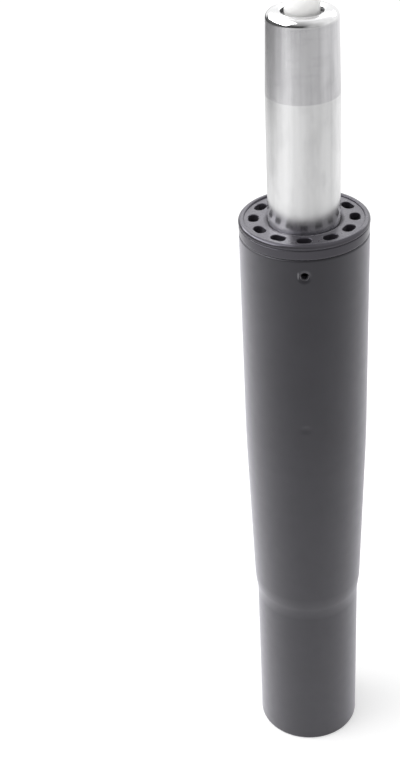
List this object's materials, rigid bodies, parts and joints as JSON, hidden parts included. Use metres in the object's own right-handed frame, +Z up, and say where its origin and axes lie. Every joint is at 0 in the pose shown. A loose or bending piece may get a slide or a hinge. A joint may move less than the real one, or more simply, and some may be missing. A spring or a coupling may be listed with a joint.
{
  "type": "chair gas lift cylinder",
  "caption": "Gas lift column for a swivel chair: tapered black column tube with guide bush, sliding gas spring stem with seat taper, thrust bearing in the foot and a release button.",
  "frame": {"origin": "centre of the rolled foot, on the surface that the column stands on", "axes": "+Z up along the column's axis, -Y towards the locking hole of the guide bush"},
  "size_m": [0.0511, 0.051, 0.352],
  "materials": {
    "column_coat": "satin black powder coat",
    "bush_plastic": "semi-matte black moulded plastic",
    "stem_chrome": "ground and chromed, duller on the seat taper",
    "button_plastic": "warm white moulded plastic",
    "zinc_plate": "zinc plated pressed steel",
    "clip_steel": "dark oiled spring steel",
    "bearing_steel": "polished bearing steel",
    "rod_chrome": "ground hard chrome",
    "brass": "turned brass",
    "seal_rubber": "black nitrile rubber",
    "guide_plastic": "natural acetal",
    "liner_steel": "honed steel tube",
    "valve_aluminium": "turned aluminium"
  },
  "bodies": {
    "column": {"outer_tube": "column_coat", "guide_bush": "bush_plastic", "bottom_disc": "zinc_plate", "lower_race": "bearing_steel"},
    "bearing_cage": {"ball_cage": "brass", "bearing_balls": "bearing_steel"},
    "rod": {"upper_race": "bearing_steel", "rubber_buffer": "seal_rubber", "piston_rod": "rod_chrome", "clip_washer": "zinc_plate", "rod_clip": "clip_steel", "stop_washer": "zinc_plate", "piston": "brass", "piston_seal": "seal_rubber", "piston_washer": "zinc_plate", "piston_nut": "zinc_plate"},
    "stem": {"pressure_tube": "stem_chrome", "end_washer": "zinc_plate", "rod_guide": "guide_plastic", "rod_seal": "seal_rubber", "seat_ring": "guide_plastic", "inner_tube": "liner_steel", "valve_body": "valve_aluminium", "body_seal": "seal_rubber", "liner_seal": "seal_rubber", "pin_seals": "seal_rubber", "port_sleeve": "brass", "gland_sleeve": "guide_plastic", "top_washer": "zinc_plate"},
    "button": {"valve_pin": "rod_chrome", "release_button": "button_plastic"}
  },
  "joints": [
    {"name": "swivel", "type": "hinge", "parent": "column", "child": "rod", "pos_m": [0, 0, 0.01555], "axis": [0, 0, 1], "continuous": true},
    {"name": "cage_spin", "type": "hinge", "parent": "column", "child": "bearing_cage", "pos_m": [0, 0, 0.01555], "axis": [0, 0, 1], "continuous": true},
    {"name": "lift", "type": "slide", "parent": "rod", "child": "stem", "axis": [0, 0, 1], "range_m": [-0.045, 0.075]},
    {"name": "press", "type": "slide", "parent": "stem", "child": "button", "axis": [0, 0, -1], "range_m": [0, 0.004], "stiffness_N_per_m": 6000}
  ],
  "couplings": [
    {"joint": "cage_spin", "follows": "swivel", "ratio": 0.5}
  ]
}
